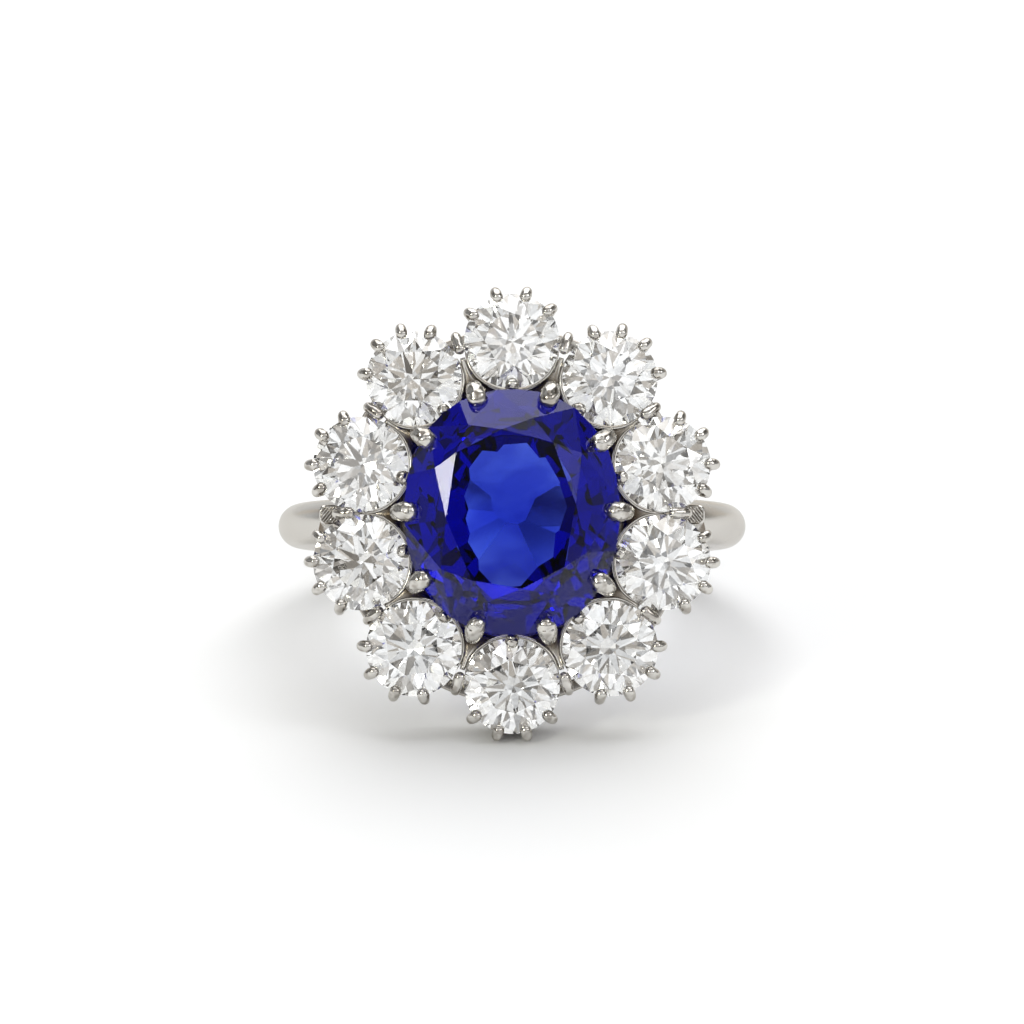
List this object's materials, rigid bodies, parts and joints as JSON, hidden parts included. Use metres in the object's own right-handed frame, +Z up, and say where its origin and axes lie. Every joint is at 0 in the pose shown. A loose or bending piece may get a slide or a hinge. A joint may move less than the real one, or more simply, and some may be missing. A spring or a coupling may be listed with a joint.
{
  "type": "sapphire and diamond ring",
  "caption": "Finger ring whose cushion-cut sapphire is held in claws inside an oval of round brilliants in tapering collets, on a slim half-round band; it lies on its side.",
  "frame": {"origin": "middle of the box's underside, on the surface that the ring lies on", "axes": "+X across the hand to the right as the stones are seen, -Y to where the stones face, +Z up"},
  "size_m": [0.0204, 0.0249, 0.0179],
  "materials": {
    "white_metal": "polished platinum with fine wear, file-cut on the shoulders' tops",
    "sapphire": "polished royal-blue sapphire",
    "diamond": "polished colourless diamond"
  },
  "bodies": {
    "root": {"ring_mount": "white_metal", "sapphire": "sapphire", "diamond_01": "diamond", "diamond_02": "diamond", "diamond_03": "diamond", "diamond_04": "diamond", "diamond_05": "diamond", "diamond_06": "diamond", "diamond_07": "diamond", "diamond_08": "diamond", "diamond_09": "diamond", "diamond_10": "diamond"}
  },
  "joints": []
}
